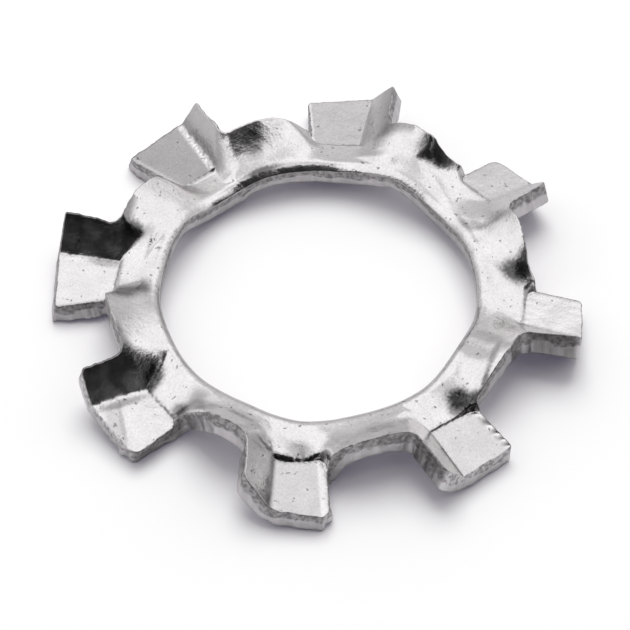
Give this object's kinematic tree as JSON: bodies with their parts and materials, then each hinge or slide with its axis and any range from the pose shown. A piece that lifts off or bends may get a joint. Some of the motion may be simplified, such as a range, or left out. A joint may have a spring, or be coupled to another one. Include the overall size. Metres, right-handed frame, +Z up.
{
  "type": "toothed lock washer",
  "caption": "External-tooth lock washer: a waved steel ring with folded teeth, each a coined pad facing down and a steep wing facing up.",
  "frame": {"origin": "on the bore axis, in the plane that the lowest corners of the pads rest on", "axes": "+Z up along the bore axis, towards the side the wings stand up on; +X out along the fold line of one tooth"},
  "size_m": [0.0108, 0.0108, 0.0014],
  "materials": {
    "steel": "bright satin, bare stamped sheet; smooth waved faces, coined pads with fine pits, and dull grainy shear-cut edges"
  },
  "bodies": {
    "root": {"washer": "steel"}
  },
  "joints": []
}
